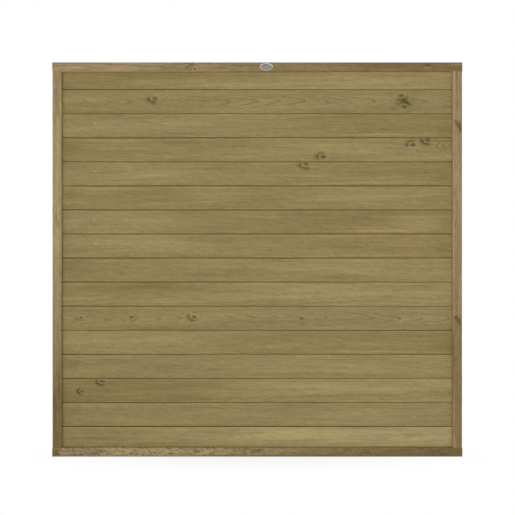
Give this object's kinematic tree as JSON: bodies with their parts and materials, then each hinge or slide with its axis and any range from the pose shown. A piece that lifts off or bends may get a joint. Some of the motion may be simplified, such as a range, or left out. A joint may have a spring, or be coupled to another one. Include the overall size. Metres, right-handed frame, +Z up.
{
  "type": "tongue and groove fence panel",
  "caption": "Framed fence panel of horizontal tongue and groove softwood boards with vee joints, housed in a grooved timber frame with an upright batten behind.",
  "frame": {"origin": "middle of the panel's bottom edge, halfway through the frame's depth", "axes": "+X along the boards to the right seen from the front, +Y from the front to the back, +Z up"},
  "size_m": [1.83, 0.0466, 1.76],
  "materials": {
    "frame_timber": "planed pressure-treated softwood, pinkish brown to tan",
    "board_timber": "planed pressure-treated softwood, olive tan",
    "screw_steel": "zinc and yellow passivated steel, dulled",
    "staple_wire": "galvanised flat wire, dull grey",
    "badge_metal": "bare pressed plate with a bright rim and a dull grey field"
  },
  "bodies": {
    "root": {"bottom_rail": "frame_timber", "top_rail": "frame_timber", "left_stile": "frame_timber", "right_stile": "frame_timber", "board_01": "board_timber", "board_02": "board_timber", "board_03": "board_timber", "board_04": "board_timber", "board_05": "board_timber", "board_06": "board_timber", "board_07": "board_timber", "board_08": "board_timber", "board_09": "board_timber", "board_10": "board_timber", "board_11": "board_timber", "board_12": "board_timber", "board_13": "board_timber", "board_14": "board_timber", "board_15": "board_timber", "board_16": "board_timber", "rear_batten": "frame_timber", "corner_screws": "screw_steel", "batten_staples": "staple_wire", "badge_plate": "badge_metal"}
  },
  "joints": []
}
